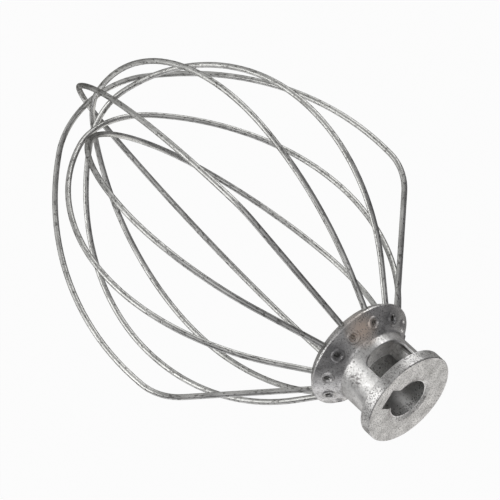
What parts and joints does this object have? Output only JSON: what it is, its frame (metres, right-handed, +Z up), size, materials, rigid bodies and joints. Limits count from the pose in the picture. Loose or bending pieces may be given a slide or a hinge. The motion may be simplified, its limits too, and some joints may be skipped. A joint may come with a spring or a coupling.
{
  "type": "stand mixer wire whip",
  "caption": "Balloon-shaped wire whip for a stand mixer: bent steel wires held in a cast collar whose hub has a bayonet bore for the drive shaft.",
  "frame": {"origin": "centre of the bore's mouth on the drive face, as the whip hangs from the mixer's shaft", "axes": "+Z up along the drive axis, out of the bore; the wires hang towards -Z; +X along the pin's entry slot"},
  "size_m": [0.106, 0.0962, 0.1606],
  "materials": {
    "cast_aluminium": "as cast and tumbled, satin, lightly speckled",
    "steel_wire": "drawn stainless wire, satin"
  },
  "bodies": {
    "root": {"hub": "cast_aluminium", "wire_1": "steel_wire", "wire_2": "steel_wire", "wire_3": "steel_wire", "wire_4": "steel_wire", "wire_5": "steel_wire", "wire_6": "steel_wire"}
  },
  "joints": []
}
